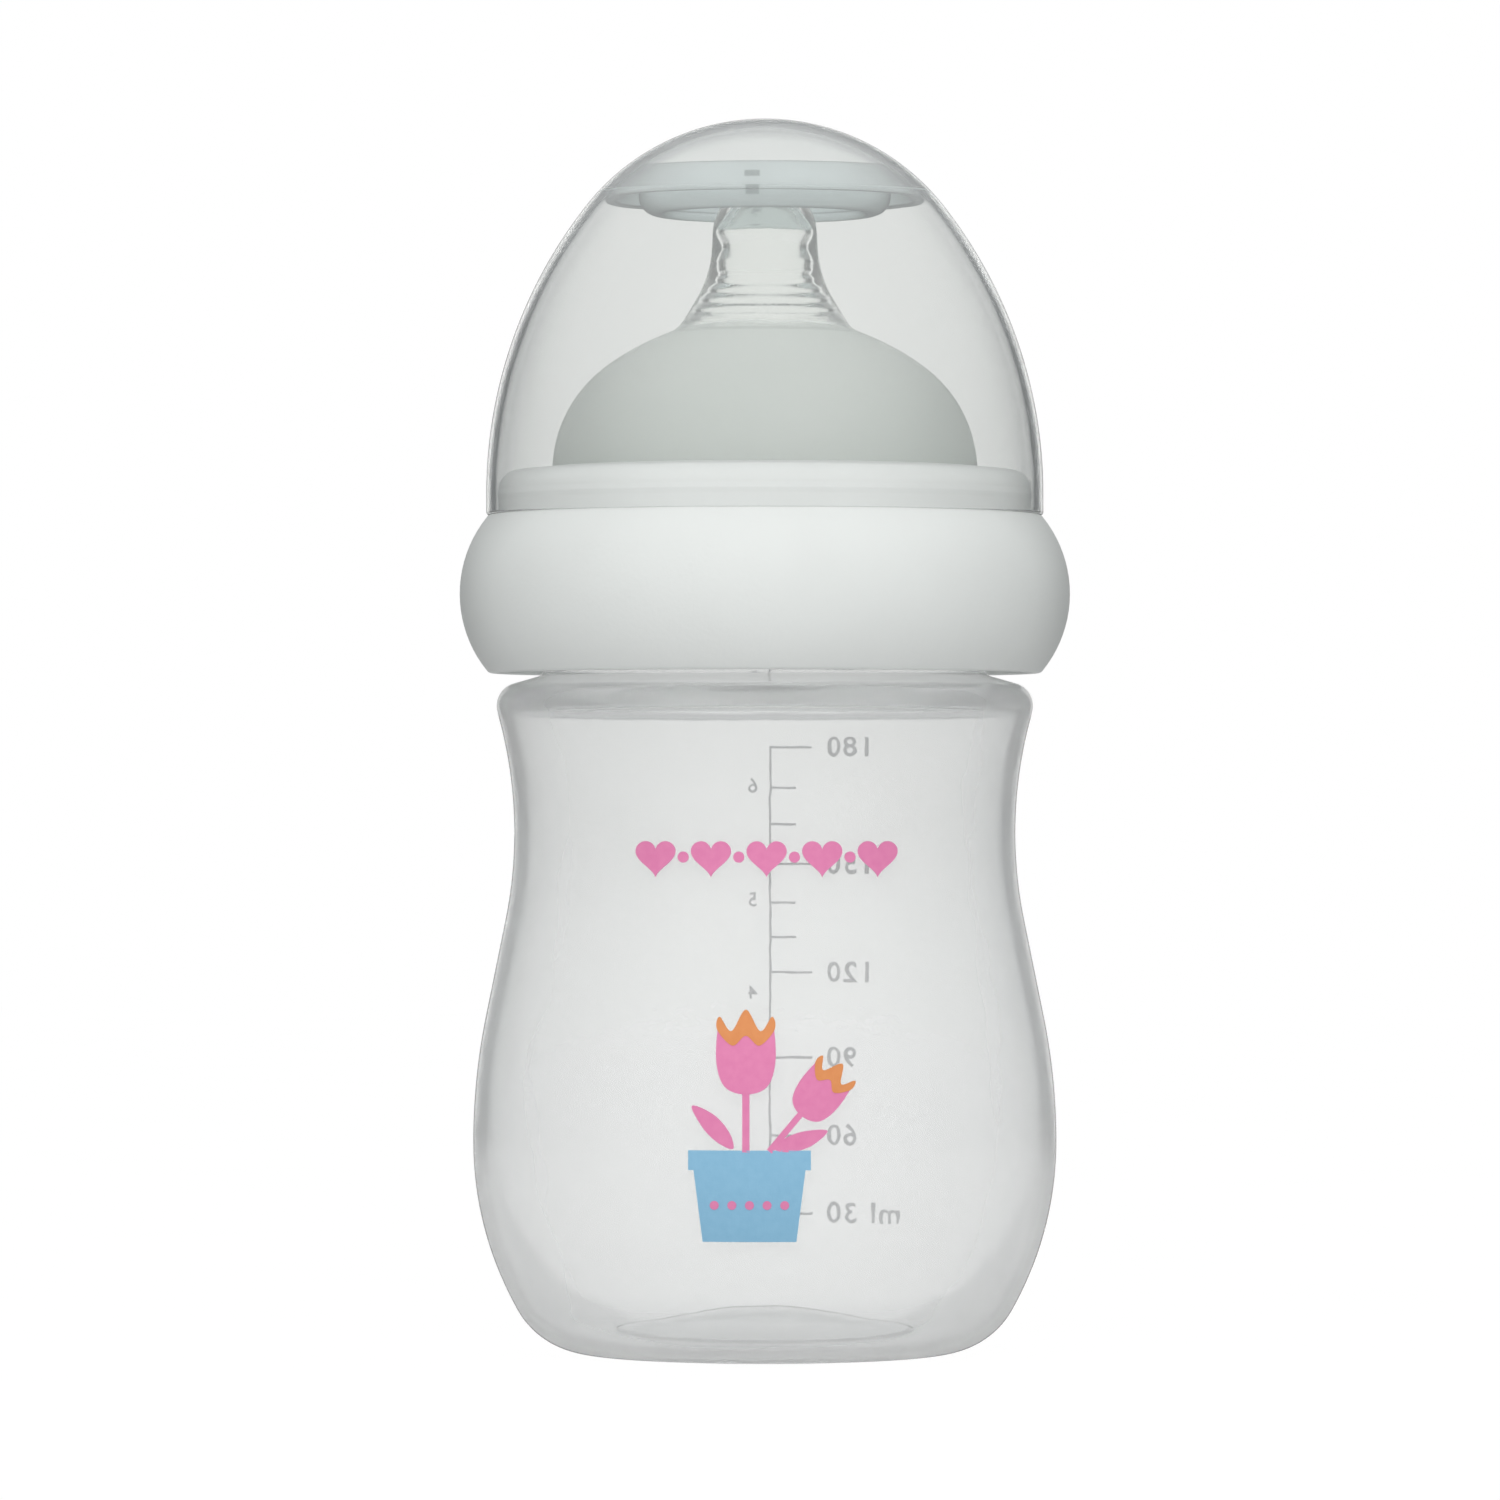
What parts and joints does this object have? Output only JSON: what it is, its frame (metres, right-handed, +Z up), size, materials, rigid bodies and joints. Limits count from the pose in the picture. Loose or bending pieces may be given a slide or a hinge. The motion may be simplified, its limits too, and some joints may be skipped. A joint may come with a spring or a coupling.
{
  "type": "baby bottle",
  "caption": "Waisted wide-neck baby feeding bottle: clear hood with sealing cup, silicone teat held by a round screw ring, graduated bottle. The ring unscrews and the hood lifts off.",
  "frame": {"origin": "centre of the foot ring, on the surface the bottle stands on", "axes": "+Z up along the bottle's axis, towards the hood; -Y towards the printed front"},
  "size_m": [0.07, 0.07, 0.1415],
  "materials": {
    "bottle_plastic": "translucent natural polypropylene, satin inside and gloss outside",
    "teat_silicone": "frosted silicone dome, clear teat",
    "ring_plastic": "milky white polypropylene, soft gloss",
    "hood_plastic": "clear gloss",
    "cup_plastic": "milky translucent",
    "ink_grey": "printed ink",
    "ink_pink": "printed ink",
    "ink_orange": "printed ink",
    "ink_blue": "printed ink"
  },
  "bodies": {
    "bottle": {"bottle_body": "bottle_plastic"},
    "nipple": {"nipple": "teat_silicone"},
    "ring": {"screw_ring": "ring_plastic"},
    "hood": {"hood": "hood_plastic", "hood_seal_cup": "cup_plastic"}
  },
  "joints": [
    {"name": "nipple_lift", "type": "slide", "parent": "bottle", "child": "nipple", "axis": [0, 0, 1], "range_m": [0, 0.0068]},
    {"name": "ring_turn", "type": "hinge", "parent": "nipple", "child": "ring", "pos_m": [0, 0, 0.087], "axis": [0, 0, 1], "range_deg": [0, 540]},
    {"name": "hood_lift", "type": "slide", "parent": "ring", "child": "hood", "axis": [0, 0, 1], "range_m": [0, 0.04]}
  ],
  "couplings": [
    {"joint": "nipple_lift", "follows": "ring_turn", "m_per_rad": 0.0007162}
  ]
}
